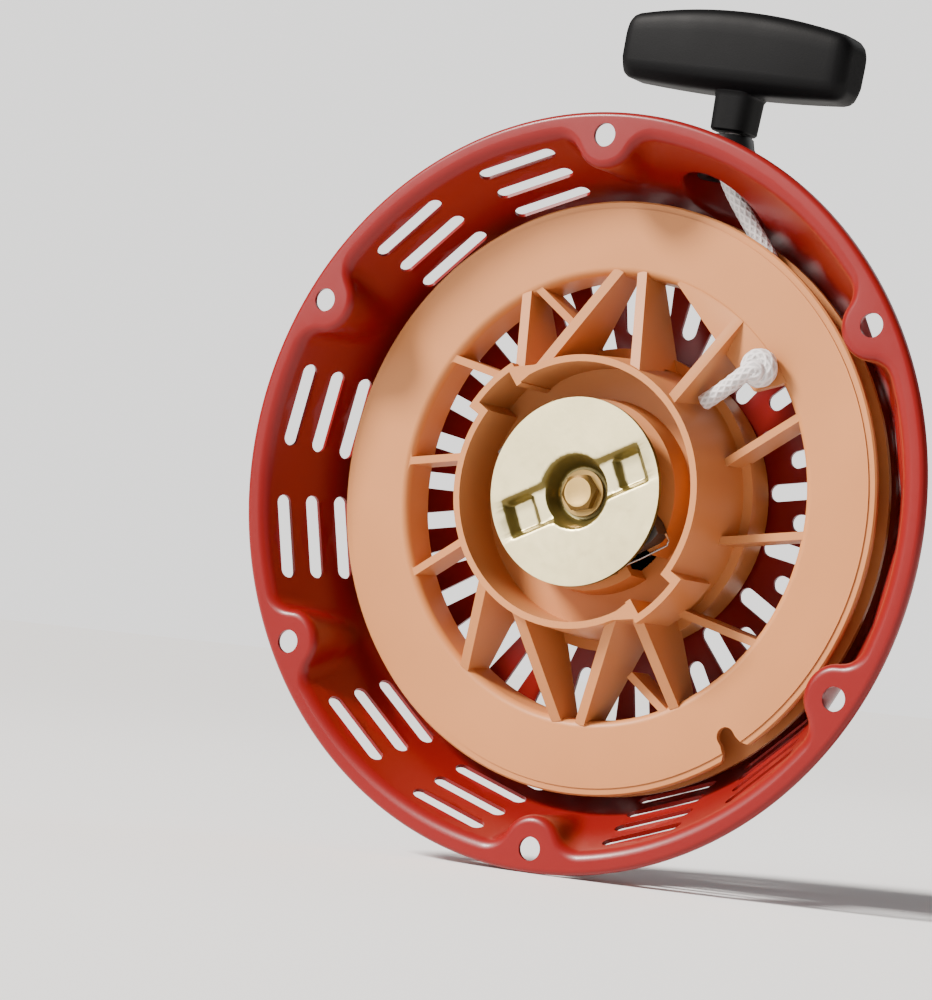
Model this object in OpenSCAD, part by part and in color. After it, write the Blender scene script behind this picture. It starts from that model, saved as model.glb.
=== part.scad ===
// Recoil (rope pull) starter for a small four-stroke engine.
// Every piece is laid out on the reel's axis: X to the right, Y up and Z towards the engine, with
// zero in the flange's engine-side face. upright() then turns the whole thing so that up is +Z,
// and the mouth that bolts to the engine faces -Y.

/* [Housing] */
// Outer radius of the mounting flange
flange_r = 112; // [111:0.5:114]
// Thickness of the pressed sheet
sheet_t = 1.2; // [1:0.1:1.5]
// Depth from the flange face to the inside of the back plate
case_depth = 45; // [45:0.5:47]
// Inner radius of the wall at the flange
wall_top_r = 105.8; // [105:0.1:106.5]
// How much the wall's radius shrinks for each millimetre of depth
wall_draft = 0.449; // [0.43:0.005:0.455]
// Inside radius of the bend between the wall and the back plate
corner_r = 6; // [4:0.5:7]
// Depth of the turned-back lip round the flange
lip_depth = 2.6; // [1.5:0.1:4]

/* [Bolt ears] */
// Number of bolt holes
bolt_count = 6; // [6:1:6]
// Radius of the bolt circle
bolt_circle_r = 105; // [104:0.5:106]
// Radius of each bolt hole
bolt_hole_r = 3.5; // [3:0.1:4]
// Radius of the dent round each bolt, outside
ear_r = 8.8; // [8:0.1:9.2]
// Radius of the bend from the dent back to the wall
ear_blend_r = 7; // [5:0.5:8]

/* [Vents] */
// Width of the slots in the wall
wall_slot_w = 4.8; // [4:0.1:5.5]
// Length of the slots in the wall
wall_slot_l = 26; // [20:0.5:27]
// Depth of the first row of wall slots
wall_slot_first = 7; // [6.5:0.5:8]
// Step in depth between rows of wall slots
wall_slot_step = 9.5; // [8:0.1:10]
// Width of the slots in the back plate
back_slot_w = 5.2; // [4:0.1:6]
// Radius that the back plate's slots reach out to
back_slot_outer = 80; // [76:0.5:81]
// Radius where the long slots start
back_slot_inner_long = 44.4; // [44:0.2:50]
// Radius where the short slots start
back_slot_inner_short = 51.9; // [50:0.1:60]

/* [Rope exit] */
// Sideways place of the rope hole
exit_x = 28; // [26:0.5:30]
// Depth of the rope below the flange face
rope_depth = 26; // [25.5:0.1:26.5]
// Height of the flat top of the boss round the rope hole
exit_y = 101.2; // [100:0.2:103]
// Outer radius of that boss
exit_boss_r = 13; // [12:0.5:14]
// Radius of the hole through the eyelet
eyelet_bore_r = 4.3; // [4:0.1:4.6]

/* [Reel] */
// Outer radius of the reel's two flanges
reel_r = 88.8; // [86:0.2:89]
// Depth of the reel's front face below the flange
reel_face = 20.3; // [19.5:0.1:21]
// Width of the whole rim from face to face
reel_rim_w = 11.7; // [11.5:0.1:12]
// Thickness of each rim flange
reel_flange_t = 2.1; // [1.8:0.1:2.2]
// Radius of the bottom of the rope groove
groove_floor_r = 68.5; // [68:0.1:68.6]
// Inner radius of the rim
rim_inner_r = 66.5; // [66:0.1:67]
// Radius of the reel's running bore
reel_bore_r = 8.06; // [8.05:0.01:8.08]
// Thickness of the tall ribs
tall_rib_t = 3.2; // [2.5:0.1:4]
// Thickness of the low ribs
low_rib_t = 2.3; // [2:0.1:3]

/* [Hub] */
// Inner radius of the ring that takes the engine's starter cup
hub_inner_r = 38.4; // [38:0.1:39]
// Outer radius of that ring at its top
hub_outer_r = 40.4; // [40:0.1:41.5]
// Depth of the ring's top below the flange
hub_top = 3.5; // [3:0.1:4]
// Depth of the floor of the channel round the ratchets
hub_floor = 22; // [21:0.5:22.5]
// Depth of the platform that the ratchets lie on
platform_top = 13.2; // [13.1:0.1:13.6]
// Radius of that platform
platform_r = 28.5; // [28:0.1:29]

/* [Ratchets] */
// Distance of the ratchet pivots from the reel's axis
pivot_r = 20; // [20:0.1:20.2]
// Angle of the first ratchet pivot
pivot_angle = 300; // [299:1:301]
// Radius of the pivot posts
pivot_post_r = 3.5; // [3.4:0.05:3.5]
// Thickness of each ratchet
ratchet_t = 6.6; // [6:0.1:6.7]
// Distance from the pivot to the ratchet's nose
ratchet_reach = 19.2; // [18.5:0.1:19.4]
// Direction that a ratchet points in at rest
ratchet_rest_angle = 28.7; // [28:0.1:30]

/* [Ratchet guide] */
// Radius of the guide disc
guide_r = 28; // [27.5:0.1:28.2]
// Depth of the disc's top below the flange
guide_top = 4.1; // [4:0.1:4.3]
// Thickness of the disc's sheet
guide_t = 1.5; // [1.2:0.1:1.6]
// Depth of the well's floor below the flange
well_floor = 10.5; // [10.4:0.1:10.5]
// Direction of the pressed arms
arm_angle = 25; // [20:1:30]

/* [Rope and grip] */
// Radius of the rope
rope_r = 2.5; // [2.3:0.1:2.5]
// Radius of the innermost turn
first_turn_r = 71.2; // [71:0.1:71.3]
// Step from one turn to the next
turn_step = 4.7; // [4.6:0.1:4.8]
// Lean of the pull away from straight up
pull_lean = 5.5; // [4:0.5:7]
// Height of the foot of the grip's stem
stem_foot = 112; // [111.5:0.5:114]
// Length of the grip's bar
grip_w = 78; // [70:1:86]
// Thickness of the grip's bar
grip_t = 22; // [20:0.5:24]

/* [Hidden] */
$fn = 96;

// Colours
red_paint = [0.62, 0.13, 0.1];
nylon = [0.8, 0.58, 0.44];
zinc = [0.75, 0.76, 0.74];
yellow_zinc = [0.86, 0.8, 0.6];
dark_steel = [0.3, 0.3, 0.31];
black = [0.09, 0.09, 0.1];
rope_white = [0.84, 0.82, 0.8];

// Cutters run this far past the faces that they cut
past = 1;

// Angles
sector = 360 / bolt_count;
first_bolt = 30;
wall_lean = atan(wall_draft);
vent_sectors = [0, 120, 180, 240, 300];
vent_side = 11.5;
back_slots = 36;
long_slot_start = 8;

// Back plate and corner
back_z = -case_depth;
corner_z = back_z + corner_r;
corner_x = wall_top_r - wall_draft * (case_depth - corner_r) - corner_r / cos(wall_lean);
arc_steps = 6;

// Ear outline: the blend's centre touches both the dent and the wall
blend_centre_r = wall_top_r - ear_blend_r;
ear_gap = ear_r + sheet_t + ear_blend_r;
blend_angle = acos((pow(blend_centre_r, 2) + pow(bolt_circle_r, 2) - pow(ear_gap, 2))
    / (2 * blend_centre_r * bolt_circle_r));
blend_centre = polar(blend_centre_r, blend_angle);
blend_to_bolt = atan2(-blend_centre[1], bolt_circle_r - blend_centre[0]);

// Reel
face_z = -reel_face;
rim_back_z = face_z - reel_rim_w;
groove_top_z = face_z - reel_flange_t;
groove_bottom_z = rim_back_z + reel_flange_t;
rim_step_w = 2.3;
rim_step_h = 0.4;
rim_round = 2.5;
notch_angle = -53.5;
notch_w = 5.5;
notch_r = 80;
// Each rib runs from an angle on the rim to an angle and radius at the hub
tall_ribs = [[91, 116, 38.6], [84.5, 66, 38.6], [118, 125.5, 38.8], [234, 225, 38.6]];
low_ribs = [[145, 132, 42.6], [174.5, 165, 40], [204, 197, 40], [115, 107, 54]];
rib_rim_r = 68;
rib_bottom_z = rim_back_z + 0.3;
low_rib_drop = 0.7;
gusset_top_z = -hub_top - 1;
anchor_outline = [[18.5, 64.5], [36, 45], [47, 34], [57, 37], [62, 60], [30, 75]];
anchor_t = 2.6;
knot_place = [50, 40.5];

// Hub and spring pocket
hub_foot_r = 42.6;
hub_foot_z = -30;
hub_foot_flange_r = 45.6;
floor_t = 2.5;
floor_z = -hub_floor;
platform_z = -platform_top;
boss_r = 12.5;
boss_bottom_z = -32.5;
skirt_inner_r = 41.4;
skirt_outer_r = 44.4;
skirt_bottom_z = back_z + 1.4;
spring_well_r = 9.8;
spring_well_z = -17.5;
pocket_start = 127;
pocket_end = 145;
pocket_inner_r = 42.5;
pocket_outer_r = 44.5;
lead_in_start = 113;
lead_in_r = 37.7;

// Post and screw
post_r = 8;
post_foot_r = 14;
post_foot_t = 1.3;
rivet_r = 5;
rivet_head_r = 8;
rivet_head_t = 1.5;
neck_r = 5;
neck_z = -17.4;
spigot_r = 4.05;
spigot_z = -well_floor - guide_t - 0.3;
clamp_z = -well_floor + 0.1;
thread_r = 3;
thread_depth = 16;
washer_r = 7;
washer_t = 1;
hex_across = 10;
hex_h = 2.9;
friction_coil_r = 6.6;
friction_wire_r = 0.6;
friction_turns = 2.5;

// Ratchets, seen with the pivot at the origin and the nose along +X
ratchet_bore_r = pivot_post_r + 0.06;
ratchet_hub_r = 6;
ratchet_top_z = -guide_top - guide_t - 0.5;
ratchet_bottom_z = ratchet_top_z - ratchet_t;
post_top_z = ratchet_top_z - 0.4;
ratchet_nose = [[ratchet_reach, 1.6], [ratchet_reach, -2.4], [ratchet_reach - 3, -3.6], [3, -4.6]];
cam_gap = 0.2;
guide_travel = 35;
swing_per_lag = 1.5;
coil_recess_r = 4.9;
coil_recess_h = 2.7;
torsion_wire_r = 0.35;
torsion_coil_r = 4.25;
torsion_turns = 2;
torsion_leg = 18;
leg_groove_y = -3.5;

// Ratchet guide
well_r = 10.8;
well_foot_r = 8;
arm_w = 12;
arm_floor_w = 9.5;
arm_reach = 23.5;
arm_step_r = 14.5;
arm_shallow = 2;
arm_deep = 3.7;
peg_r = 1.9;
peg_place_r = 22;
peg_angle = -2.5;

// Rope
rope_z = -rope_depth;
turns = 3;
last_turn_r = first_turn_r + turn_step * (turns - 1);
pull = [sin(pull_lean), cos(pull_lean)];
exit_inner_y = exit_y - sheet_t;
eyelet_mouth_y = exit_inner_y - 3.2;
eyelet_lip_r = 8.5;
eyelet_neck_r = 6.4;
eyelet_foot_r = 8;
eyelet_top_y = 109.5;
eyelet_top_r = 6.6;
mouth_flare_r = 7;
bend_point = [exit_x, exit_y] - pull * ((exit_y - eyelet_mouth_y) / pull[1]);
bend_r = norm(bend_point);
leave_angle = atan2(bend_point[1], bend_point[0]) - acos(last_turn_r / bend_r);
leave_point = last_turn_r * [cos(leave_angle), sin(leave_angle)];
run_length = norm(bend_point - leave_point);
run_heading = leave_angle + 90;
clear_start = sqrt(pow(last_turn_r + rope_r + 0.5, 2) - pow(last_turn_r - rope_r, 2));
knot_r = 6.4;
tail_heading = 213;
tail_length = 16;

// Grip, measured along the pull from the rope hole
stem_foot_s = (stem_foot - exit_y) / pull[1];
stem_foot_r = 7.3;
stem_top_r = 8.7;
stem_h = 10.5;
bar_low_s = stem_foot_s + stem_h - 1;
bar_end_h = 19;
bar_crown_h = 25.5;
bar_round = 4;
bar_foot_inset = 3;
grip_bore_r = 3.2;
knot_well_r = 8;
knot_well_depth = 11;
grip_knot_r = 6;

function polar(r, a) = [r * cos(a), r * sin(a)];
function arc(cx, cy, r, a0, a1) =
    [for (i = [0 : arc_steps]) [cx, cy] + polar(r, a0 + (a1 - a0) * i / arc_steps)];
function wall_r(depth) = wall_top_r - wall_draft * depth;

// A round wire along a list of points, closed at both ends
module wire(path, r, sides = 8) {
    last = len(path) - 1;
    ahead = [for (i = [0 : last]) path[min(i + 1, last)] - path[max(i - 1, 0)]];
    rings = [for (i = [0 : last])
        let (t = ahead[i] / norm(ahead[i]),
            side = cross(t, abs(t[2]) > 0.9 ? [1, 0, 0] : [0, 0, 1]),
            u = side / norm(side),
            v = cross(t, u))
        for (k = [0 : sides - 1]) path[i] + r * (u * cos(k * 360 / sides) + v * sin(k * 360 / sides))];
    skin = [for (i = [0 : last - 1], k = [0 : sides - 1])
        let (a = i * sides + k, b = i * sides + (k + 1) % sides)
        each [[a, b, b + sides], [a, b + sides, a + sides]]];
    start = [for (k = [sides - 1 : -1 : 0]) k];
    end = [for (k = [0 : sides - 1]) last * sides + k];
    polyhedron(rings, concat(skin, [start, end]));
}

module upright() {
    rotate([90, 0, 0]) children();
}

module tube(outer, inner, low, high) {
    translate([0, 0, low]) difference() {
        cylinder(r = outer, h = high - low);
        translate([0, 0, -past]) cylinder(r = inner, h = high - low + 2 * past);
    }
}

module disc(r, low, high) {
    translate([0, 0, low]) cylinder(r = r, h = high - low);
}

// A slice of pie from angle a to angle b, used to keep part of a ring
module slice(r, a, b, low, high) {
    translate([0, 0, low]) linear_extrude(high - low)
        polygon([[0, 0], polar(r, a), polar(r, (2 * a + b) / 3), polar(r, (a + 2 * b) / 3), polar(r, b)]);
}

// A bar with round ends, from x = a to x = b
module pill(a, b, width, low, high) {
    for (x = [a, b]) translate([x, 0, low]) cylinder(r = width / 2, h = high - low, $fn = 48);
    translate([a, -width / 2, low]) cube([b - a, width, high - low]);
}

// ---- Housing ----

// Half of the dent's outline, from the rim to its middle, with the bolt on the X axis
function half_ear(grow) = concat([polar(flange_r + 5, blend_angle)],
    arc(blend_centre[0], blend_centre[1], ear_blend_r + sheet_t - grow, blend_angle, blend_to_bolt),
    arc(bolt_circle_r, 0, ear_r + grow, 180 + blend_to_bolt, 180));

module ear_outline(grow) {
    half = half_ear(grow);
    last = len(half) - 1;
    polygon(concat(half, [for (i = [last - 1 : -1 : 0]) [half[i][0], -half[i][1]]]));
}

module ears(grow, low, high) {
    for (i = [0 : bolt_count - 1]) rotate([0, 0, first_bolt + i * sector])
        translate([0, 0, low]) linear_extrude(high - low) ear_outline(grow);
}

// The bowl, grown by the sheet's thickness for its outside
module bowl(grow, top) {
    rotate_extrude($fn = 180) polygon(concat(
        [[0, top], [wall_top_r + grow / cos(wall_lean) + wall_draft * top, top]],
        arc(corner_x, corner_z, corner_r + grow, -wall_lean, -90),
        [[0, back_z - grow]]));
}

module exit_boss(r, top) {
    translate([exit_x, top, rope_z]) rotate([90, 0, 0]) cylinder(r = r, h = top - 70);
}

module wall_vents() {
    for (s = vent_sectors, side = [-1, 1], row = [0 : 3]) {
        depth = wall_slot_first + row * wall_slot_step;
        rotate([0, 0, s + side * vent_side]) translate([wall_r(depth), 0, -depth])
            rotate([0, wall_lean + 90, 0]) rotate([0, 0, 90])
                pill(-(wall_slot_l - wall_slot_w) / 2, (wall_slot_l - wall_slot_w) / 2,
                    wall_slot_w, -4, 4);
    }
}

module back_vents() {
    for (i = [0 : back_slots - 1]) {
        start = i % 2 == 0 ? back_slot_inner_long : back_slot_inner_short;
        rotate([0, 0, long_slot_start + i * 360 / back_slots])
            pill(start + back_slot_w / 2, back_slot_outer - back_slot_w / 2, back_slot_w,
                back_z - sheet_t - past, back_z + past);
    }
}

module housing_shell() {
    color(red_paint) upright() difference() {
        union() {
            disc(flange_r, -sheet_t, 0);
            tube(flange_r, flange_r - sheet_t, -lip_depth, -sheet_t / 2);
            difference() {
                union() {
                    bowl(sheet_t, -sheet_t / 2);
                    exit_boss(exit_boss_r, exit_y);
                }
                ears(0, back_z - 3, -sheet_t);
            }
        }
        difference() {
            union() {
                bowl(0, past);
                exit_boss(exit_boss_r - sheet_t, exit_y - sheet_t);
            }
            ears(sheet_t, back_z - 3, 2 * past);
        }
        for (i = [0 : bolt_count - 1]) rotate([0, 0, first_bolt + i * sector])
            translate([bolt_circle_r, 0, -3]) cylinder(r = bolt_hole_r, h = 5, $fn = 48);
        translate([exit_x, exit_y + past, rope_z]) rotate([90, 0, 0])
            cylinder(r = eyelet_neck_r, h = sheet_t + 2 * past);
        disc(rivet_r, back_z - sheet_t - past, back_z + past);
        wall_vents();
        back_vents();
    }
}

// The post's end goes through the back plate and is spread behind it
module rivet() {
    rotate_extrude() polygon([[0, back_z + post_foot_t / 2], [rivet_r, back_z + post_foot_t / 2],
        [rivet_r, back_z - sheet_t], [rivet_head_r, back_z - sheet_t],
        [rivet_head_r - 0.3, back_z - sheet_t - 0.8], [rivet_head_r - 2, back_z - sheet_t - rivet_head_t],
        [0, back_z - sheet_t - rivet_head_t]]);
}

module center_post() {
    color(zinc) upright() difference() {
        union() {
            disc(post_foot_r, back_z, back_z + post_foot_t);
            disc(post_r, back_z + post_foot_t / 2, neck_z);
            disc(neck_r, neck_z - past, spigot_z);
            disc(spigot_r, spigot_z - past, clamp_z);
            rivet();
        }
        disc(thread_r, clamp_z - thread_depth, clamp_z + past);
    }
}

// Eyelet that the rope bends round, open towards the reel
module rope_guide() {
    flare = mouth_flare_r - eyelet_bore_r;
    color(black) upright() translate([exit_x, 0, rope_z]) rotate([-90, 0, 0])
        rotate_extrude() polygon(concat(
            [[eyelet_bore_r, eyelet_top_y - 1], [eyelet_bore_r, eyelet_mouth_y + flare]],
            arc(mouth_flare_r, eyelet_mouth_y + flare, flare, 180, 270),
            [[eyelet_lip_r, eyelet_mouth_y], [eyelet_lip_r, exit_inner_y], [eyelet_neck_r, exit_inner_y],
            [eyelet_neck_r, exit_y], [eyelet_foot_r, exit_y], [eyelet_foot_r, exit_y + 2],
            [eyelet_top_r, eyelet_top_y - 1], [eyelet_top_r - 1, eyelet_top_y],
            [eyelet_bore_r + 1, eyelet_top_y]]));
}

// Coil that presses the ratchet guide against the washer, so that it drags
module friction_spring() {
    low = neck_z + friction_wire_r + 0.05;
    high = spigot_z - friction_wire_r - 0.3;
    steps = 40;
    path = [for (i = [0 : steps]) let (p = polar(friction_coil_r, 360 * friction_turns * i / steps))
        [p[0], p[1], low + (high - low) * i / steps]];
    color(zinc) upright() wire(path, friction_wire_r);
}

module screw_washer() {
    color(zinc) upright() tube(washer_r, thread_r + 0.2, clamp_z, clamp_z + washer_t);
}

module setting_screw() {
    head_z = clamp_z + washer_t;
    color(yellow_zinc) upright() {
        disc(thread_r, clamp_z - thread_depth + 2, head_z + 0.5);
        translate([0, 0, head_z]) rotate([0, 0, 10])
            cylinder(r = hex_across / sqrt(3), h = hex_h, $fn = 6);
    }
}

// ---- Reel ----

module rim() {
    rotate_extrude($fn = 180) polygon(concat(
        [[reel_r, groove_top_z], [reel_r, face_z - rim_step_h - 0.5],
        [reel_r - 0.5, face_z - rim_step_h], [reel_r - rim_step_w, face_z - rim_step_h],
        [reel_r - rim_step_w, face_z]],
        arc(rim_inner_r + rim_round, face_z - rim_round, rim_round, 90, 180),
        [[rim_inner_r - 0.5, rim_back_z], [reel_r - 0.5, rim_back_z], [reel_r, rim_back_z + 0.5],
        [reel_r, groove_bottom_z], [groove_floor_r, groove_bottom_z], [groove_floor_r, groove_top_z]]));
}

// Section of the hub, spring pocket and platform
module hub() {
    rotate_extrude() polygon([
        [reel_bore_r, boss_bottom_z], [reel_bore_r, spring_well_z], [spring_well_r, spring_well_z],
        [spring_well_r, platform_z], [platform_r, platform_z], [platform_r + 0.7, floor_z],
        [hub_inner_r, floor_z], [hub_inner_r, -hub_top], [hub_outer_r, -hub_top],
        [hub_foot_r, hub_foot_z], [hub_foot_flange_r, hub_foot_z], [hub_foot_flange_r, rim_back_z],
        [skirt_outer_r, rim_back_z], [skirt_outer_r, skirt_bottom_z], [skirt_inner_r, skirt_bottom_z],
        [skirt_inner_r, floor_z - floor_t], [platform_r - 2.5, floor_z - floor_t],
        [platform_r - 2.5, platform_z - 3], [boss_r, platform_z - 3], [boss_r, boss_bottom_z]]);
}

module rib(rim_angle, hub_angle, hub_end_r, thick, hub_end_z) {
    outer = polar(rib_rim_r, rim_angle);
    inner = polar(hub_end_r, hub_angle);
    run = norm(inner - outer);
    heading = atan2(inner[1] - outer[1], inner[0] - outer[0]);
    translate([outer[0], outer[1], 0]) rotate([0, 0, heading]) rotate([90, 0, 0])
        linear_extrude(thick, center = true)
            polygon([[0, min(face_z, hub_end_z)], [run, hub_end_z], [run, rib_bottom_z], [0, rib_bottom_z]]);
}

module half_of_ribs() {
    for (r = tall_ribs) rib(r[0], r[1], r[2], tall_rib_t, gusset_top_z);
    for (r = low_ribs) rib(r[0], r[1], r[2], low_rib_t, face_z - low_rib_drop);
}

module ribs() {
    difference() {
        intersection() {
            for (turn = [0, 180]) rotate([0, 0, turn]) half_of_ribs();
            disc(groove_floor_r - 0.4, rim_back_z, 0);
        }
        disc(hub_inner_r + 0.9, floor_z, past);
        disc(skirt_inner_r + 1, rim_back_z - past, floor_z);
    }
}

// Plate that the knot pulls against, filling the window beside the rim
module anchor_plate() {
    intersection() {
        translate([0, 0, face_z - anchor_t]) linear_extrude(anchor_t) polygon(anchor_outline);
        disc(groove_floor_r - 0.4, rim_back_z, face_z);
    }
}

// Bulges in the hub ring that give the ratchets room to swing out
module pocket_walls() {
    for (turn = [0, 180]) rotate([0, 0, turn]) {
        intersection() {
            tube(pocket_outer_r, hub_inner_r - 1, floor_z - floor_t / 2, -hub_top);
            slice(60, pocket_start - 2.8, pocket_end + 4, floor_z - floor_t / 2, -hub_top);
        }
        translate([0, 0, floor_z - 1]) linear_extrude(-hub_top - floor_z + 1)
            polygon([polar(hub_inner_r + 1, lead_in_start), polar(lead_in_r, pocket_start - 0.3),
                polar(pocket_outer_r - 0.5, pocket_start - 0.3), polar(hub_inner_r + 1.5, lead_in_start)]);
    }
}

module pocket_hollows() {
    disc(hub_inner_r - 1.2, floor_z, past);
    for (turn = [0, 180]) rotate([0, 0, turn]) {
        intersection() {
            disc(pocket_inner_r, floor_z, past);
            slice(60, pocket_start, pocket_end, floor_z - past, 2 * past);
        }
        intersection() {
            disc(hub_inner_r, floor_z, past);
            slice(60, pocket_start, lead_in_start + 180, floor_z - past, 2 * past);
        }
    }
}

module pivots() {
    for (turn = [0, 180]) rotate([0, 0, pivot_angle + turn]) translate([pivot_r, 0, 0])
        disc(pivot_post_r, platform_z - 1, post_top_z);
}

module rope_notch() {
    rotate([0, 0, notch_angle])
        pill(notch_r + notch_w / 2, reel_r + 5, notch_w, groove_top_z - past, face_z + past);
    rotate([0, 0, notch_angle]) translate([0, 0, groove_top_z - past])
        linear_extrude(reel_flange_t + 2 * past) polygon([for (side = [-1, 1]) for (p = side < 0
            ? [[reel_r - 4.5, 0.4], [reel_r - 2, 1.1], [reel_r - 0.7, 2.3], [reel_r + 1, 5]]
            : [[reel_r + 1, 5], [reel_r - 0.7, 2.3], [reel_r - 2, 1.1], [reel_r - 4.5, 0.4]])
            [p[0], side * (notch_w / 2 - 0.4 + p[1])]]);
}

module reel() {
    color(nylon) upright() {
        difference() {
            union() {
                difference() {
                    union() {
                        ribs();
                        pocket_walls();
                        anchor_plate();
                    }
                    pocket_hollows();
                }
                rim();
                hub();
            }
            for (turn = [0, 180]) rotate([0, 0, turn]) intersection() {
                disc(pocket_inner_r, floor_z, past);
                slice(60, pocket_start, pocket_end, floor_z - past, 2 * past);
            }
            rope_notch();
            translate([knot_place[0], knot_place[1], face_z - 5]) cylinder(r = rope_r + 0.5, h = 8);
        }
        pivots();
    }
}

// Flat spiral that winds up as the rope is pulled
module recoil_spring() {
    coils = 7;
    steps = coils * 14;
    band_t = 0.8;
    inner_r = 9.4;
    outer_r = skirt_inner_r - 1;
    edge = [for (side = [-1, 1], i = [0 : steps])
        let (k = side > 0 ? steps - i : i) polar(inner_r + (outer_r - inner_r) * k / steps
            + side * band_t / 2, 360 * coils * k / steps)];
    color(dark_steel) upright() translate([0, 0, back_z + 1.6]) linear_extrude(10.4) polygon(edge);
}

module rope_winding() {
    color(rope_white) upright() translate([0, 0, rope_z]) rotate_extrude($fn = 120)
        for (i = [0 : turns - 1]) translate([first_turn_r + i * turn_step, 0])
            circle(r = rope_r, $fn = 32);
}

module rope_knot() {
    knot_z = face_z + knot_r * 0.75;
    color(rope_white) upright() translate([knot_place[0], knot_place[1], 0]) {
        difference() {
            translate([0, 0, knot_z]) sphere(r = knot_r, $fn = 48);
            disc(knot_r + 1, face_z - 2 * knot_r, face_z);
        }
        disc(rope_r, face_z - anchor_t - 1, face_z + 1);
        translate([0, 0, knot_z - 1]) rotate([0, 0, tail_heading]) rotate([0, 90, 0])
            cylinder(r = rope_r, h = tail_length + knot_r - 2);
    }
}

// ---- Ratchets and guide ----

// The guide's peg, as the ratchet sees it when the guide has lagged by an angle
function peg_seen(lag) =
    let (p = polar(peg_place_r, peg_angle - lag) - polar(pivot_r, pivot_angle),
        a = ratchet_rest_angle - swing_per_lag * lag)
    [p[0] * cos(a) + p[1] * sin(a), p[1] * cos(a) - p[0] * sin(a)];

// The ratchet's inner side follows the peg, so that a lagging guide pushes the nose outwards
function cam_point(lag) =
    let (t = peg_seen(lag - 1) - peg_seen(lag + 1))
    peg_seen(lag) + [t[1], -t[0]] / norm(t) * (peg_r + cam_gap);

function ratchet_outline() =
    concat([[0, 5.8], [4.2, 3.6]], [for (i = [7 : -1 : 0]) cam_point(guide_travel * i / 7)], ratchet_nose);

module ratchet(turn) {
    color(dark_steel) upright() rotate([0, 0, turn]) translate(polar(pivot_r, pivot_angle))
        rotate([0, 0, ratchet_rest_angle]) difference() {
            union() {
                disc(ratchet_hub_r, ratchet_bottom_z, ratchet_top_z);
                translate([0, 0, ratchet_bottom_z]) linear_extrude(ratchet_t) polygon(ratchet_outline());
            }
            disc(ratchet_bore_r, ratchet_bottom_z - past, 0);
            disc(coil_recess_r, ratchet_bottom_z - past, ratchet_bottom_z + coil_recess_h);
            // Way out of the recess for the spring's long leg
            translate([0, -ratchet_hub_r - past, ratchet_bottom_z - past])
                cube([ratchet_reach + past, ratchet_hub_r + past + leg_groove_y, coil_recess_h + past]);
        }
}

// Return spring, a coil round the pivot with a leg along the ratchet's outer side
module ratchet_spring(turn) {
    coil_steps = 28;
    low = ratchet_bottom_z + torsion_wire_r + 0.1;
    high = ratchet_bottom_z + coil_recess_h - torsion_wire_r - 0.2;
    coil = [for (i = [0 : coil_steps])
        let (p = polar(torsion_coil_r, -90 - 360 * torsion_turns * i / coil_steps))
        [p[0], p[1], low + (high - low) * i / coil_steps]];
    end = coil[0] + [torsion_leg, -0.9, 0];
    leg = [end + [2.2, 2.6, 3.4], end + [1.8, 0.8, 1.6], end, coil[0] + [torsion_leg / 2, -0.9, 0],
        coil[0] + [3, -0.6, 0]];
    color(zinc) upright() rotate([0, 0, turn]) translate(polar(pivot_r, pivot_angle))
        rotate([0, 0, ratchet_rest_angle]) wire(concat(leg, coil), torsion_wire_r);
}

module ratchet_a() {
    ratchet(0);
}

module ratchet_b() {
    ratchet(180);
}

module ratchet_spring_a() {
    ratchet_spring(0);
}

module ratchet_spring_b() {
    ratchet_spring(180);
}

// The disc's sheet with its well and arms, as one solid of revolution and two troughs a side
module guide_well(grow) {
    translate([0, 0, -well_floor - grow]) cylinder(r1 = well_foot_r + grow * 0.7, r2 = well_r + grow * 0.7,
        h = well_floor - guide_top + grow + (grow > 0 ? 0 : past));
}

module guide_arms(grow) {
    side = grow * 0.9;
    for (turn = [0, 180]) rotate([0, 0, arm_angle + turn]) {
        translate([0, -arm_w / 2 - side, -guide_top - arm_shallow - grow])
            cube([arm_step_r + side, arm_w + 2 * side, arm_shallow + grow + (grow > 0 ? 0 : past)]);
        translate([arm_step_r - 2, -arm_floor_w / 2 - side, -guide_top - arm_deep - grow])
            cube([arm_reach - arm_step_r + 2 + side, arm_floor_w + 2 * side,
                arm_deep + grow + (grow > 0 ? 0 : past)]);
    }
}

module ratchet_guide() {
    color(yellow_zinc) upright() {
        difference() {
            union() {
                disc(guide_r, -guide_top - guide_t, -guide_top);
                guide_well(guide_t);
                guide_arms(guide_t);
            }
            guide_well(0);
            guide_arms(0);
            disc(spigot_r + 0.06, -well_floor - guide_t - past, 0);
        }
        for (turn = [0, 180]) rotate([0, 0, peg_angle + turn]) translate([peg_place_r, 0, 0])
            disc(peg_r, ratchet_bottom_z + 0.3, -guide_top - guide_t / 2);
    }
}

// ---- Rope outside the reel, and the grip ----

module rope_run() {
    color(rope_white) upright() translate([leave_point[0], leave_point[1], rope_z])
        rotate([0, 0, run_heading]) rotate([0, 90, 0])
            translate([0, 0, clear_start]) cylinder(r = rope_r, h = run_length - clear_start);
}

// Puts things on the pull's line, with Y along the pull
module on_pull() {
    upright() translate([exit_x, exit_y, rope_z]) rotate([0, 0, -pull_lean]) children();
}

module pull_rod(r, low, high) {
    translate([0, low, 0]) rotate([-90, 0, 0]) cylinder(r = r, h = high - low);
}

module rope_stub() {
    color(rope_white) on_pull()
        pull_rod(rope_r, -0.5, bar_low_s + bar_crown_h - knot_well_depth + 1);
}

// Bar section: a rounded block, lower and narrower at its ends than at its crown
module bar_slice(x, half_t, low, high) {
    for (y = [low, high], z = [-1, 1])
        translate([x, y + (y == low ? bar_round : -bar_round), z * (half_t - bar_round)])
            sphere(r = bar_round, $fn = 24);
}

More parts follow.
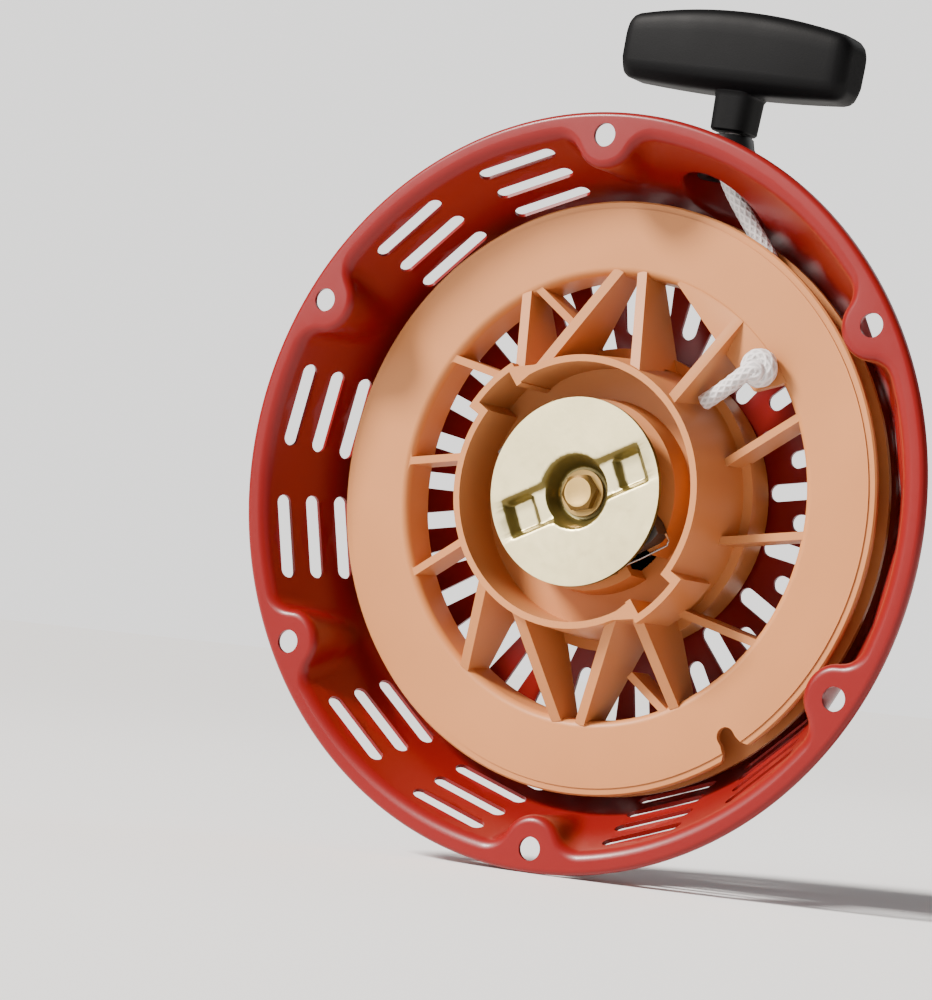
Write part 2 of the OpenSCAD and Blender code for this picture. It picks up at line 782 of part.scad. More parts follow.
module grip() {
    half = grip_w / 2 - bar_round;
    end_low = bar_low_s + bar_foot_inset;
    color(black) on_pull() difference() {
        union() {
            hull() {
                for (x = [-1, 1]) {
                    bar_slice(x * half, grip_t / 2 - 2.5, end_low, end_low + bar_end_h);
                    bar_slice(x * half * 0.45, grip_t / 2, bar_low_s, bar_low_s + bar_crown_h - 1.4);
                }
                bar_slice(0, grip_t / 2, bar_low_s, bar_low_s + bar_crown_h);
            }
            translate([0, stem_foot_s, 0]) rotate([-90, 0, 0])
                cylinder(r1 = stem_foot_r, r2 = stem_top_r, h = stem_h + 2);
        }
        pull_rod(grip_bore_r, 0, bar_low_s + bar_crown_h + past);
        pull_rod(knot_well_r, bar_low_s + bar_crown_h - knot_well_depth, bar_low_s + bar_crown_h + past);
    }
}

module grip_knot() {
    seat = bar_low_s + bar_crown_h - knot_well_depth;
    foot = 0.8 * grip_knot_r;
    color(rope_white) on_pull() translate([0, seat + foot, 0]) rotate([-90, 0, 0])
        rotate_extrude() intersection() {
            circle(r = grip_knot_r, $fn = 48);
            translate([0, -foot]) square(2 * grip_knot_r);
        }
}

housing_shell();
center_post();
rope_guide();
friction_spring();
screw_washer();
setting_screw();
rope_run();
reel();
recoil_spring();
rope_winding();
rope_knot();
ratchet_a();
ratchet_b();
ratchet_spring_a();
ratchet_spring_b();
ratchet_guide();
grip();
grip_knot();
rope_stub();
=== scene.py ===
"""Looks of the recoil starter: pressed housing, moulded reel, plated disc, braided rope and T grip.

Lengths in this file are in millimetres on the reel's own axes, as in the CAD source: x to the right,
y up and z towards the engine, with zero in the flange's engine-side face. row() turns such a point
into the frame's metres.
"""

import math

import bmesh
import bpy
from mathutils import Matrix, Vector
from mathutils.geometry import delaunay_2d_cdt


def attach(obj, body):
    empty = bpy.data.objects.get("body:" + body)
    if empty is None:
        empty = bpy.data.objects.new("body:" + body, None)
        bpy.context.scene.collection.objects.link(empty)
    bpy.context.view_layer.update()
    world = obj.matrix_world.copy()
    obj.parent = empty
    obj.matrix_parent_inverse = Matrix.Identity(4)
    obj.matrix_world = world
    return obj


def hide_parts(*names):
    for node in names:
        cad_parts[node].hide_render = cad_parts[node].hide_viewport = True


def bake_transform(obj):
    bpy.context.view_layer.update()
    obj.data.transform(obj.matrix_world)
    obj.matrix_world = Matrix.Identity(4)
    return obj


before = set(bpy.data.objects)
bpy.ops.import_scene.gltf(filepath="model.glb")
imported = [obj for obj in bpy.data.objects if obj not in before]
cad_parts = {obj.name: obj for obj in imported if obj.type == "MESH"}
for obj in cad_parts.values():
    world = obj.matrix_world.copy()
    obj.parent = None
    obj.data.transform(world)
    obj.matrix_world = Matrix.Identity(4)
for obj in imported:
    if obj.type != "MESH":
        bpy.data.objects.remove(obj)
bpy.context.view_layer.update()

# ---- Sizes that are also in the CAD source ----
FLANGE_R = 112.0
SHEET_T = 1.2
CASE_DEPTH = 45.0
WALL_TOP_R = 105.8
WALL_DRAFT = 0.449
CORNER_R = 6.0
LIP_DEPTH = 2.6
BOLT_R = 105.0
BOLT_HOLE_R = 3.5
BOLT_TURNS = tuple(30 + 60 * k for k in range(6))
DENT_R = 10.0
DENT_BLEND_R = 7.0
FLANGE_BEND_R = 2.6
EXIT_X, EXIT_Y, ROPE_Z = 28.0, 101.2, -26.0
EXIT_BOSS_R = 11.8
EYELET_NECK_R, EYELET_FOOT = 6.4, 96.8
ROPE_R = 2.5
TURN_RADII = (71.2, 75.9, 80.6)
PULL_LEAN = math.radians(5.5)
GUIDE_TOP, GUIDE_T = -4.1, 1.5
REEL_FACE = -20.3
KNOT_X, KNOT_Y = 50.0, 40.5
PIVOT_R, PIVOT_ANGLE = 20.0, 300.0
BAR_LOW, BAR_CROWN = 20.35, 25.5

# ---- Sizes of this model only ----
WELD = 2e-6  # metres within which points are merged
BRAID_STRANDS, BRAID_PITCH = 7, 3.4
KNOT_SIZE = 5.6

# ---- What follows from them ----
WALL_LEAN = math.atan(WALL_DRAFT)
CORNER_Z = CORNER_R - CASE_DEPTH
CORNER_X = WALL_TOP_R - WALL_DRAFT * (CASE_DEPTH - CORNER_R) - CORNER_R / math.cos(WALL_LEAN)
WALL_END = -CORNER_Z + CORNER_R * math.sin(WALL_LEAN)
PULL = Vector((math.sin(PULL_LEAN), math.cos(PULL_LEAN), 0))
ACROSS = Vector((PULL.y, -PULL.x, 0))
EXIT = Vector((EXIT_X, EXIT_Y, ROPE_Z))
BAR_TOP = BAR_LOW + BAR_CROWN


def row(p):
    """A point in millimetres, in the frame's metres."""
    return Vector((p[0], -p[2], p[1])) / 1000


def polar(r, degrees, z=0.0):
    a = math.radians(degrees)
    return Vector((r * math.cos(a), r * math.sin(a), z))


# ---- Materials ----


def srgb(*values):
    """Linear colour from 0 to 255 screen values."""
    return (*[((v / 255 + 0.055) / 1.055) ** 2.4 if v > 10 else v / 3294 for v in values], 1.0)


class Finish:
    """A procedural material: two colours mixed by a soft noise, with roughness and bump of its own."""

    def __init__(self, name, colour, rough, metallic=0.0, coat=0.0, sheen=0.0, gloss=0.5):
        self.material = bpy.data.materials.new(name)
        self.material.use_nodes = True
        self.nodes = self.material.node_tree.nodes
        self.links = self.material.node_tree.links
        self.shader = self.nodes["Principled BSDF"]
        self.shader.inputs["Metallic"].default_value = metallic
        self.shader.inputs["Coat Weight"].default_value = coat
        self.shader.inputs["Coat Roughness"].default_value = 0.12
        self.shader.inputs["Sheen Weight"].default_value = sheen
        self.shader.inputs["Specular IOR Level"].default_value = gloss
        self.material.diffuse_color = colour
        self.colour, self.rough = colour, rough
        self.coords = self.nodes.new("ShaderNodeTexCoord")
        self.normal = None

    def add(self, kind, **settings):
        node = self.nodes.new(kind)
        for key, value in settings.items():
            if key in node.inputs:
                node.inputs[key].default_value = value
            else:
                setattr(node, key, value)
        return node

    def split(self, vector):
        """The X, Y and Z outputs of a vector."""
        node = self.add("ShaderNodeSeparateXYZ")
        self.links.new(vector, node.inputs["Vector"])
        return node.outputs

    def calc(self, operation, *values):
        """A Math node whose inputs are numbers or other nodes' outputs."""
        node = self.add("ShaderNodeMath", operation=operation)
        for k, value in enumerate(values):
            if isinstance(value, bpy.types.NodeSocket):
                self.links.new(value, node.inputs[k])
            else:
                node.inputs[k].default_value = value
        return node.outputs[0]

    def map_range(self, value, ends):
        node = self.add("ShaderNodeMapRange", **ends)
        self.links.new(value, node.inputs["Value"])
        return node.outputs["Result"]

    def noise(self, scale, detail=3.0, stretch=(1, 1, 1)):
        mapping = self.add("ShaderNodeMapping", Scale=stretch)
        self.links.new(self.coords.outputs["Object"], mapping.inputs["Vector"])
        noise = self.add("ShaderNodeTexNoise", Scale=scale, Detail=detail)
        self.links.new(mapping.outputs["Vector"], noise.inputs["Vector"])
        return noise.outputs["Fac"]

    def vary_colour(self, fac, darker, lighter, low=0.3, high=0.7):
        ramp = self.nodes.new("ShaderNodeValToRGB")
        ramp.color_ramp.elements[0].position = low
        ramp.color_ramp.elements[1].position = high
        for element, share in zip(ramp.color_ramp.elements, (darker, lighter)):
            element.color = (*[min(1.0, c * share) for c in self.colour[:3]], 1.0)
        self.links.new(fac, ramp.inputs["Fac"])
        self.links.new(ramp.outputs["Color"], self.shader.inputs["Base Color"])

    def vary_rough(self, fac, spread):
        ends = {"To Min": max(0.02, self.rough - spread), "To Max": min(1.0, self.rough + spread)}
        self.links.new(self.map_range(fac, ends), self.shader.inputs["Roughness"])

    def bump(self, height, distance, strength=1.0):
        bump = self.add("ShaderNodeBump", Strength=strength, Distance=distance)
        self.links.new(height, bump.inputs["Height"])
        if self.normal:
            self.links.new(self.normal, bump.inputs["Normal"])
        self.normal = bump.outputs["Normal"]
        self.links.new(self.normal, self.shader.inputs["Normal"])


def plain_finish(name, colour, rough, spread, tone, grain, **shader):
    """tone is (noise scale, darker, lighter); grain is (noise scale, bump distance in metres)."""
    f = Finish(name, colour, rough, **shader)
    f.vary_colour(f.noise(tone[0]), tone[1], tone[2])
    f.vary_rough(f.noise(tone[0] * 2.3, 5.0), spread)
    f.bump(f.noise(grain[0], 2.0), grain[1])
    return f


def brushed_finish(name, colour, rough, stretch, metallic=1.0):
    f = Finish(name, colour, rough, metallic=metallic)
    f.vary_colour(f.noise(60, 4.0), 0.86, 1.05)
    f.vary_rough(f.noise(400, 3.0, stretch), 0.1)
    f.bump(f.noise(900, 3.0, stretch), 0.00002)
    return f


# The share of the painted shade colour, as (from, to, share there, share there): by the size of the
# normal's Y, which is 1 on a flat face, so slopes get painted shade, and by the distance in metres
# behind the flange, so the deep well does too.
SLOPE_PAINTED_SHADE = (0.995, 0.86, 0.0, 1.0)
DEPTH_PAINTED_SHADE = (0.0085, 0.0103, 0.0, 0.8)
RANGE_INPUTS = ("From Min", "From Max", "To Min", "To Max")


def pressed_painted_shade_finish(name, colour, dark, rough):
    """Plated sheet whose pressed slopes and deep floor are painted darker than its flat face, as
    painted shade.
    """
    f = brushed_finish(name, colour, rough, (1, 1, 1), 0.7)
    face = f.shader.inputs["Base Color"].links[0].from_socket
    shares = []
    for output, values in (("Normal", SLOPE_PAINTED_SHADE), ("Object", DEPTH_PAINTED_SHADE)):
        size = f.calc("ABSOLUTE", f.split(f.coords.outputs[output])["Y"])
        shares.append(f.map_range(size, dict(zip(RANGE_INPUTS, values))))
    # The larger share mixes in the painted shade colour, dark, over the plating's own colour.
    most = f.calc("MAXIMUM", *shares)
    mix = f.add("ShaderNodeMix", data_type="RGBA")
    f.links.new(most, mix.inputs["Factor"])
    f.links.new(face, mix.inputs["A"])
    mix.inputs["B"].default_value = dark
    f.links.new(mix.outputs["Result"], f.shader.inputs["Base Color"])
    return f


def braid_finish(name, colour, use_uv):
    """Braided rope. Its strands follow the mesh's UV, or for a straight rope its own axis."""
    f = Finish(name, colour, 0.75, sheen=0.3)
    if use_uv:
        uv = f.split(f.coords.outputs["UV"])
        along, around = uv["X"], uv["Y"]
    else:
        mapping = f.add("ShaderNodeMapping", vector_type="TEXTURE")
        mapping.inputs["Location"].default_value = row(EXIT)
        mapping.inputs["Rotation"].default_value = (0, PULL_LEAN, 0)
        f.links.new(f.coords.outputs["Object"], mapping.inputs["Vector"])
        own = f.split(mapping.outputs["Vector"])
        around = f.calc("DIVIDE", f.calc("ARCTAN2", own["Y"], own["X"]), 2 * math.pi)
        along = f.calc("MULTIPLY", own["Z"], 1000.0)
    strands = []
    for hand in (1, -1):
        turns = f.calc("MULTIPLY", around, BRAID_STRANDS * 2 * math.pi * hand)
        strands.append(f.calc("SINE", f.calc("MULTIPLY_ADD", along, 2 * math.pi / BRAID_PITCH, turns)))
    level = f.map_range(f.calc("MAXIMUM", *strands), {"From Min": -0.6})
    # The grooves between strands are painted darker as painted shade, besides the bump.
    f.vary_colour(level, 0.76, 1.05, 0.1, 0.75)
    f.vary_rough(f.noise(300), 0.1)
    f.bump(level, 0.00025)
    f.bump(f.noise(4000, 2.0), 0.00005, 0.6)
    return f


RED = plain_finish("red_paint", srgb(122, 18, 17), 0.33, 0.05, (14, 0.93, 1.04), (1500, 0.000012),
                   coat=0.07, gloss=0.25)
NYLON = plain_finish("tan_nylon", srgb(193, 126, 74), 0.45, 0.07, (22, 0.94, 1.04), (2600, 0.00001),
                     gloss=0.25)
BLACK = plain_finish("black_plastic", srgb(6, 6, 7), 0.55, 0.06, (40, 0.85, 1.15), (2200, 0.00003),
                     gloss=0.12)
EYELET = plain_finish("black_eyelet", srgb(16, 16, 17), 0.42, 0.05, (60, 0.9, 1.1), (1800, 0.00001),
                      gloss=0.3)
# The second colour of each plated finish is painted shade for its slopes and deep floor, not the
# plating's colour.
YELLOW_ZINC = pressed_painted_shade_finish("yellow_zinc", srgb(248, 232, 176), srgb(112, 98, 48), 0.34)
GOLD_ZINC = pressed_painted_shade_finish("gold_zinc", srgb(216, 176, 104), srgb(112, 82, 34), 0.32)
ZINC = brushed_finish("zinc_plate", srgb(196, 198, 196), 0.32, (1, 1, 1))
SPRING = brushed_finish("spring_steel", srgb(180, 182, 186), 0.28, (1, 1, 8))
SINTERED = plain_finish("dark_steel", srgb(62, 54, 50), 0.5, 0.1, (120, 0.8, 1.1), (3000, 0.00003),
                        metallic=0.35)
ROPE = braid_finish("braided_rope", srgb(226, 220, 218), True)
ROPE_STRAIGHT = braid_finish("braided_rope_straight", srgb(226, 220, 218), False)


# ---- Mesh helpers ----


def make_piece(name, points, faces, finish, body, nodes=()):
    """A mesh piece from points in millimetres, riding on a body and standing for CAD nodes."""
    mesh = bpy.data.meshes.new(name)
    mesh.from_pydata([row(p) for p in points], [], faces)
    return place_piece(name, mesh, finish, body, nodes)


def place_piece(name, mesh, finish, body, nodes=()):
    """A mesh in metres as a smooth shaded piece. One without a body is left without a parent."""
    mesh.validate()
    mesh.materials.clear()
    mesh.materials.append(finish.material)
    mesh.polygons.foreach_set("use_smooth", [True] * len(mesh.polygons))
    piece = bpy.data.objects.new(name, mesh)
    bpy.context.scene.collection.objects.link(piece)
    if body:
        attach(piece, body)
    if nodes:
        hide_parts(*nodes)
    return piece


def round_edges(piece, width, angle=40, segments=2):
    """Bevels edges sharper than angle. The width is in millimetres."""
    bevel = piece.modifiers.new("Edges", "BEVEL")
    bevel.width = width / 1000
    bevel.segments = segments
    bevel.limit_method = "ANGLE"
    bevel.angle_limit = math.radians(angle)
    bevel.use_clamp_overlap = True
    bevel.miter_outer = "MITER_ARC"
    normals = piece.modifiers.new("Normals", "WEIGHTED_NORMAL")
    normals.keep_sharp = True
    normals.weight = 80


def rebuilt(name, node, finish, body, edge):
    """The CAD node's shape as a clean mesh. Its edges are rounded by edge, or left sharp at zero."""
    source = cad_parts[node].data
    mesh = bpy.data.meshes.new(name)
    mesh.from_pydata([v.co.copy() for v in source.vertices], [],
                     [list(p.vertices) for p in source.polygons])
    bm = bmesh.new()
    bm.from_mesh(mesh)
    bmesh.ops.remove_doubles(bm, verts=bm.verts, dist=WELD)
    bmesh.ops.dissolve_degenerate(bm, edges=bm.edges, dist=WELD)
    bmesh.ops.dissolve_limit(bm, angle_limit=math.radians(0.5), verts=bm.verts, edges=bm.edges)
    bmesh.ops.recalc_face_normals(bm, faces=bm.faces)
    bm.to_mesh(mesh)
    bm.free()
    piece = place_piece(name, mesh, finish, body, (node,))
    if edge:
        round_edges(piece, edge)
    else:
        mesh.set_sharp_from_angle(angle=math.radians(50))
    return piece


def ring_faces(rings, sides, start=0):
    """Quads between closed rings that follow each other in a list of points."""
    faces = []
    for i in range(rings - 1):
        for k in range(sides):
            a, b = start + i * sides + k, start + i * sides + (k + 1) % sides
            faces.append((a, b, b + sides, a + sides))
    return faces


def capped_rings(rings, sides):
    """The same, with the first and the last ring closed by a face."""
    ends = [tuple(reversed(range(sides))), tuple(range((rings - 1) * sides, rings * sides))]
    return ring_faces(rings, sides) + ends


def lathe(profile, sides, centre=(0, 0)):
    """Rings of points round a line along z, from (radius, z) pairs, and the quads between them."""
    points = [Vector((centre[0], centre[1], 0)) + polar(r, 360 * k / sides, z)
              for r, z in profile for k in range(sides)]
    return points, ring_faces(len(profile), sides)


class Sheet:
    """Gathers patches of one sheet of metal, whose edges share points."""

    def __init__(self):
        self.points, self.faces = [], []

    def strip(self, rings):
        """Quads between rings of points that have the same count."""
        self.faces += ring_faces(len(rings), len(rings[0]), len(self.points))
        self.points += [p for ring in rings for p in ring]

    def patch(self, free, loops, holes, keep=None):
        """Triangles over scattered (u, v, place) points. Loops and holes are closed outlines of such
        points, and a hole's inside stays open. So do triangles whose centre keep turns down."""
        flat, place, edges, faces = [], [], [], []
        for outline, is_hole in [(o, False) for o in loops] + [(o, True) for o in holes]:
            first, count = len(flat), len(outline)
            flat += [Vector((p[0], p[1])) for p in outline]
            place += [p[2] for p in outline]
            if is_hole:
                faces.append(list(range(first, first + count)))
            else:
                edges += [(first + k, first + (k + 1) % count) for k in range(count)]
        flat += [Vector((p[0], p[1])) for p in free]
        place += [p[2] for p in free]
        made = delaunay_2d_cdt(flat, edges, faces, 0, 1e-5)
        start = len(self.points)
        self.points += [place[ids[0]] if ids else Vector((0, 0, 0)) for ids in made[3]]
        for tri, inside in zip(made[2], made[5]):
            centre = sum((made[0][i] for i in tri), Vector((0, 0))) / len(tri)
            if not inside and (keep is None or keep(centre)):
                self.faces.append(tuple(start + i for i in tri))

    def mesh(self, name, sample, up):
        """One mesh, with its faces turned so that the one nearest to sample faces along up."""
        bm = bmesh.new()
        verts = [bm.verts.new(row(p)) for p in self.points]
        for f in self.faces:
            try:
                bm.faces.new([verts[i] for i in f])
            except ValueError:
                pass
        bmesh.ops.remove_doubles(bm, verts=bm.verts, dist=WELD)
        bmesh.ops.delete(bm, geom=[v for v in bm.verts if not v.link_faces], context="VERTS")
        bmesh.ops.recalc_face_normals(bm, faces=bm.faces)
        nearest = min(bm.faces, key=lambda f: (f.calc_center_median() - row(sample)).length)
        if nearest.normal.dot(row(up)) < 0:
            bmesh.ops.reverse_faces(bm, faces=bm.faces)
        mesh = bpy.data.meshes.new(name)
        bm.to_mesh(mesh)
        bm.free()
        return mesh


# ---- Housing ----


def wall_r(depth):
    return WALL_TOP_R - WALL_DRAFT * depth


def sharp_wall(degrees, depth, grow):
    """Radius of the wall's inner face grown outwards by grow. Round each bolt it is dented by a circle
    round the bolt, which a smaller circle on either side blends into the wall."""
    bare = wall_r(depth)
    if bare <= BOLT_R - DENT_R:
        return bare + grow
    delta = math.radians(abs((degrees % 60) - 30))
    mid = bare - DENT_BLEND_R
    both = DENT_R + DENT_BLEND_R
    share = (mid * mid + BOLT_R * BOLT_R - both * both) / (2 * mid * BOLT_R)
    phi = math.acos(min(1.0, share))
    if delta >= phi:
        return bare + grow
    cx, cy = mid * math.cos(phi), mid * math.sin(phi)
    reach = (DENT_BLEND_R + grow) / both
    touch = math.atan2(cy - cy * reach, cx + (BOLT_R - cx) * reach)
    if delta > touch:
        gap = phi - delta
        return mid * math.cos(gap) + math.sqrt((DENT_BLEND_R + grow) ** 2 - (mid * math.sin(gap)) ** 2)
    aside = BOLT_R * math.sin(delta)
    return BOLT_R * math.cos(delta) - math.sqrt(max(0.0, (DENT_R - grow) ** 2 - aside * aside))


def dented_wall(degrees, depth):
    """The same without growth, averaged over some depth where the feet of the dents are."""
    if depth < 12:
        return sharp_wall(degrees, depth, 0.0)
    spread = ((-4.5, 1), (-3, 2), (-1.5, 3), (0, 4), (1.5, 3), (3, 2), (4.5, 1))
    return sum(w * sharp_wall(degrees, depth + d, 0.0) for d, w in spread) / 16


def wall_angles():
    """Directions for the columns of points, closer together beside the dents."""
    angles = []
    for middle in BOLT_TURNS:
        angles += [middle - 30 + 1.43 * k for k in range(14)]
        angles += [middle - 10 + 0.5 * k for k in range(41)]
        angles += [middle + 11.43 + 1.43 * k for k in range(13)]
    return sorted(angles)


def pill_outline(low, high, width, steps=10):
    """A slot along x with round ends."""
    half = width / 2
    right = [(high + half * math.cos(a), half * math.sin(a))
             for a in [math.pi * (k / steps - 0.5) for k in range(steps + 1)]]
    left = [(low + half * math.cos(a), half * math.sin(a))
            for a in [math.pi * (k / steps + 0.5) for k in range(steps + 1)]]
    return right + left


def off_pill(p, q, low, high, width):
    """Distance outside a slot's outline."""
    return math.hypot(p - min(max(p, low), high), q) - width / 2


ANGLES = wall_angles()
U_PER_DEG = 1.62  # millimetres round the wall for a degree, on the flat map that it is meshed on
SLOT_W, SLOT_HALF = 4.8, 10.6
LIP_ROUND = 1.7
BACK_SLOT_W, BACK_SLOT_END = 5.2, 80.0
BOSS_FOOT_R, BOSS_SIDES = 13.6, 44
BOSS_RIM = EXIT_Y - SHEET_T - 1.6  # height at which the boss's side starts to bend inwards


def add_flange(sheet):
    """The flat bolt face, and the lip that is rolled back round it."""
    outer_r = FLANGE_R - LIP_ROUND
    outer = [(p.x, p.y, p) for p in [polar(outer_r, a) for a in ANGLES]]
    inner = [(p.x, p.y, p) for p in [polar(sharp_wall(a, 0, FLANGE_BEND_R), a) for a in ANGLES]]
    holes = [inner]
    for bolt in BOLT_TURNS:
        centre = polar(BOLT_R, bolt)
        holes.append([(p.x, p.y, p) for p in [centre + polar(BOLT_HOLE_R, 10 * k) for k in range(36)]])
    sheet.patch([], [outer], holes, lambda c: c.length > 70)
    lip = [[polar(outer_r + LIP_ROUND * math.sin(a), d, LIP_ROUND * (math.cos(a) - 1)) for d in ANGLES]
           for a in [math.radians(15 * k) for k in range(7)]]
    lip.append([polar(FLANGE_R, d, -LIP_DEPTH) for d in ANGLES])
    sheet.strip(lip)


def add_bend(sheet):
    """The quarter round from the flange into the wall."""
    rows = []
    for k in range(7):
        a = math.radians(15 * k)
        depth = FLANGE_BEND_R * (1 - math.cos(a))
        grow = FLANGE_BEND_R * (1 - math.sin(a))
        rows.append([polar(sharp_wall(d, depth, grow), d, -depth) for d in ANGLES])
    sheet.strip(rows)


def boss_rings():
    """Rings of the boss round the rope hole, as (radius on the map, real radius, height, climbs). The
    height of a ring that climbs is over the wall, and shrinks where the boss is low."""
    top = EXIT_Y - SHEET_T
    return [(BOSS_FOOT_R, BOSS_FOOT_R, 0, True), (12.9, 12.7, 0.5, True), (12.4, 12.2, 1.6, True),
            (12.0, EXIT_BOSS_R, 3.6, True), (11.2, EXIT_BOSS_R, BOSS_RIM, False),
            (10.7, EXIT_BOSS_R - 0.45, top - 0.5, False), (10.0, EXIT_BOSS_R - 1.6, top, False),
            (EYELET_NECK_R, EYELET_NECK_R, top, False)]


def wall_height(x, z):
    """The wall's y over a point."""
    return math.sqrt(wall_r(-z) ** 2 - x * x)


def on_map(x, z):
    """Where the wall's point over (x, z) lies on the flat map."""
    return math.degrees(math.acos(x / wall_r(-z))) * U_PER_DEG, -z


def round_exit(radius, k):
    """x and z of a boss ring's corner."""
    a = 2 * math.pi * k / BOSS_SIDES
    return EXIT_X + radius * math.cos(a), ROPE_Z + radius * math.sin(a)


def add_wall(sheet):
    """The sloping wall with its slots and the boss, meshed on a map of (distance round, depth)."""
    depths = [FLANGE_BEND_R, 4.2] + [4.2 + 2.1 * k for k in range(1, 10)]
    depths += [23.1 + 1.6 * k for k in range(1, 5)] + [29.5 + 2.4 * k for k in range(1, 5)] + [WALL_END]

    def at(degrees, depth):
        radius = sharp_wall(degrees, depth, 0) if depth < 3 else dented_wall(degrees, depth)
        return (degrees * U_PER_DEG, depth, polar(radius, degrees, -depth))

    slots, holes = [], []
    for middle in (0, 120, 180, 240, 300):
        for side in (-11.5, 11.5):
            for depth in (7.0, 16.5, 26.0, 35.5):
                degrees = (middle + side) % 360
                radius = wall_r(depth)
                outline = []
                for p, q in pill_outline(-SLOT_HALF, SLOT_HALF, SLOT_W):
                    outline.append(at(degrees + math.degrees(math.atan2(p, radius)),
                                      depth + q * math.cos(WALL_LEAN)))
                holes.append(outline)
                slots.append((degrees, depth, radius))

    rings = []
    centre = on_map(EXIT_X, ROPE_Z)
    base = [on_map(*round_exit(BOSS_FOOT_R, k)) for k in range(BOSS_SIDES)]
    for mapped, radius, height, climbs in boss_rings():
        ring = []
        for k, b in enumerate(base):
            x, z = round_exit(radius, k)
            y = height
            if climbs:
                foot = wall_height(x, z)
                y = foot + min(height, (BOSS_RIM - foot) * height / 5)
            share = mapped / BOSS_FOOT_R
            ring.append((centre[0] + (b[0] - centre[0]) * share, centre[1] + (b[1] - centre[1]) * share,
                         Vector((x, y, z))))
        rings.append(ring)
    holes.append(rings.pop())

    def clear(degrees, depth):
        """Whether a point keeps its distance from the slots and the boss, whose outlines are finer."""
        for slot_degrees, slot_depth, radius in slots:
            gap = (degrees - slot_degrees + 180) % 360 - 180
            if abs(gap) < 12 and abs(depth - slot_depth) < 4:
                if off_pill(math.radians(gap) * radius, (depth - slot_depth) / math.cos(WALL_LEAN),
                            -SLOT_HALF, SLOT_HALF, SLOT_W) < 0.6:
                    return False
        p = polar(wall_r(depth), degrees)
        return p.y < 0 or math.hypot(p.x - EXIT_X, -depth - ROPE_Z) > BOSS_FOOT_R + 0.5

    free = [at(a, d) for d in depths for a in ANGLES + [360.0]
            if d in (depths[0], depths[-1]) or clear(a, d)]
    sheet.patch(free, rings, holes)


def add_back(sheet):
    """The rounded corner behind the wall, and the back plate with slots of two lengths by turns."""
    rows = []
    for k in range(7):
        a = -WALL_LEAN - (math.pi / 2 - WALL_LEAN) * k / 6
        radius, z = CORNER_X + CORNER_R * math.cos(a), CORNER_Z + CORNER_R * math.sin(a)
        rows.append([polar(radius, d, z) for d in ANGLES])
    sheet.strip(rows)
    outer = [(p.x, p.y, p) for p in rows[-1]]
    holes = []
    for i in range(36):
        start = 44.4 if i % 2 == 0 else 51.9
        turn = Matrix.Rotation(math.radians(8 + 10 * i), 3, "Z")
        half = BACK_SLOT_W / 2
        outline = pill_outline(start + half, BACK_SLOT_END - half, BACK_SLOT_W)
        holes.append([(p.x, p.y, p) for p in [turn @ Vector((x, y, -CASE_DEPTH)) for x, y in outline]])
    sheet.patch([(0, 0, Vector((0, 0, -CASE_DEPTH)))], [outer], holes)


def housing():
    """The pressed shell, drawn as the face towards the engine and thickened away from it."""
    sheet = Sheet()
    add_flange(sheet)
    add_bend(sheet)
    add_wall(sheet)
    add_back(sheet)
    mesh = sheet.mesh("housing_pressing", (0, 10, -CASE_DEPTH), (0, 0, 1))
    piece = place_piece("housing_pressing", mesh, RED, "housing", ("housing_shell",))
    solid = piece.modifiers.new("Sheet", "SOLIDIFY")
    solid.thickness = SHEET_T / 1000
    solid.offset = -1
    solid.use_even_offset = True
    round_edges(piece, 0.28, 50)


housing()

# ---- Plain metal and moulded pieces ----
rebuilt("reel_moulding", "reel", NYLON, "reel", 0.45)
rebuilt("post", "center_post", ZINC, "housing", 0.3)
rebuilt("washer", "screw_washer", GOLD_ZINC, "housing", 0.15)
rebuilt("ratchet_near", "ratchet_a", SINTERED, "ratchet_a", 0.45)
rebuilt("ratchet_far", "ratchet_b", SINTERED, "ratchet_b", 0.45)
rebuilt("rewind_spring", "recoil_spring", SPRING, "reel", 0)
rebuilt("drag_spring", "friction_spring", SPRING, "housing", 0)


def return_spring(name, node, pivot):
    """The CAD spring as a clean mesh without a body, with its transform baked into its points."""
    piece = rebuilt(name, node, SPRING, None, 0)
    places = [v.co.copy() for v in piece.data.vertices]
    tip = max(places, key=lambda c: math.hypot(c.x - pivot.x, c.z - pivot.z))
    tip.y = pivot.y
    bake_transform(piece)


for word, letter, degrees in (("near", "a", PIVOT_ANGLE), ("far", "b", PIVOT_ANGLE + 180)):
    return_spring(f"return_spring_{word}", f"ratchet_spring_{letter}",
                  row(polar(PIVOT_R, degrees)))


def eyelet():
    """Flared mouth inside, neck through the sheet, and a broad collar on the boss."""
    half = [(4.3, 109.0), (4.3, 99.6), (4.8, 98.2), (5.9, 97.1), (7.0, EYELET_FOOT), (8.1, EYELET_FOOT),
            (8.5, 97.2), (8.5, 100.0), (EYELET_NECK_R, 100.0), (EYELET_NECK_R, EXIT_Y), (11.0, EXIT_Y),
            (11.4, 101.6), (11.4, 103.2), (10.9, 103.8), (8.8, 104.3), (7.6, 106.2), (7.1, 108.9),
            (6.5, 109.5), (4.8, 109.5)]
    points, faces = lathe(half + half[:1], 48)
    points = [Vector((EXIT_X + p.x, p.z, ROPE_Z - p.y)) for p in points]
    piece = make_piece("eyelet", points, faces, EYELET, "housing", ("rope_guide",))
    piece.data.set_sharp_from_angle(angle=math.radians(40))


eyelet()


